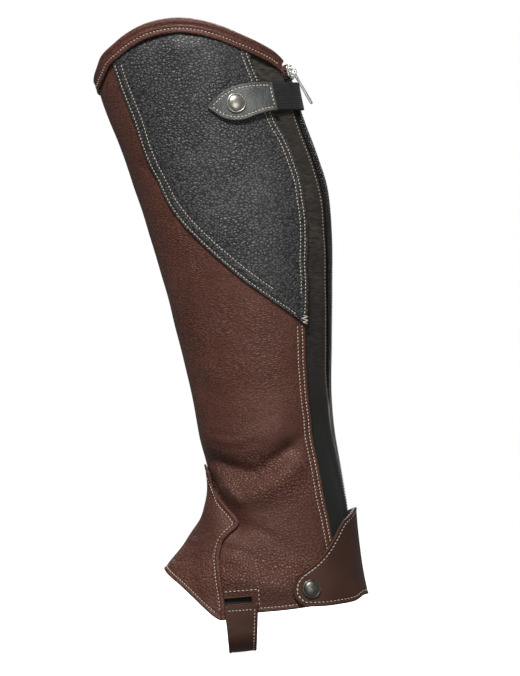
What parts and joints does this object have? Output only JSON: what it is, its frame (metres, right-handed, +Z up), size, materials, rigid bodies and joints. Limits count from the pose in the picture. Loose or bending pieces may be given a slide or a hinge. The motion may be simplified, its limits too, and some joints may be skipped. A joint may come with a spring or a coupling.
{
  "type": "leather riding half chap",
  "caption": "Tall leather half chap for the left lower leg, as worn: hollow tube with grained calf panel, stretch gusset, back zip, snapped straps and a strap under the foot.",
  "frame": {"origin": "the middle of the wearer's calf, inside the tube, where the leg holds the chap up", "axes": "+Z up the leg, -X to the front of the leg, -Y to the leg's outer side"},
  "size_m": [0.2066, 0.1135, 0.4764],
  "materials": {
    "brown_leather": "pebbled, semi-matte",
    "smooth_brown_leather": "smooth, satin",
    "black_leather": "coarse pebbled, satin",
    "black_tab_leather": "smooth, semi-gloss",
    "stretch_cloth": "matte stretch cloth",
    "black_elastic": "ribbed woven elastic",
    "zip_tape": "woven tape",
    "zip_coil": "nylon coil",
    "bright_nickel": "bright plated",
    "antique_nickel": "antique plated"
  },
  "bodies": {
    "root": {"leg_panel": "brown_leather", "calf_panel": "black_leather", "stretch_gusset": "stretch_cloth", "top_cuff": "brown_leather", "zip_tape_outer": "zip_tape", "zip_tape_inner": "zip_tape", "zip_chain": "zip_coil", "zip_slider": "bright_nickel", "strap_elastic": "black_elastic", "strap_tab": "black_tab_leather", "snap_cap_top": "antique_nickel", "snap_stud_top": "antique_nickel", "instep_panel": "brown_leather", "heel_strap": "smooth_brown_leather", "snap_cap_heel": "antique_nickel", "snap_stud_heel": "antique_nickel", "foot_strap": "smooth_brown_leather", "foot_elastic_outer": "black_elastic", "foot_elastic_inner": "black_elastic"},
    "pull_tab": {"zip_pull_tab": "bright_nickel"}
  },
  "joints": [
    {"name": "pull", "type": "hinge", "parent": "root", "child": "pull_tab", "pos_m": [0.0482, -0.01496, 0.08173], "axis": [-0.2906, -0.9541, -0.072], "range_deg": [0, 140]}
  ]
}
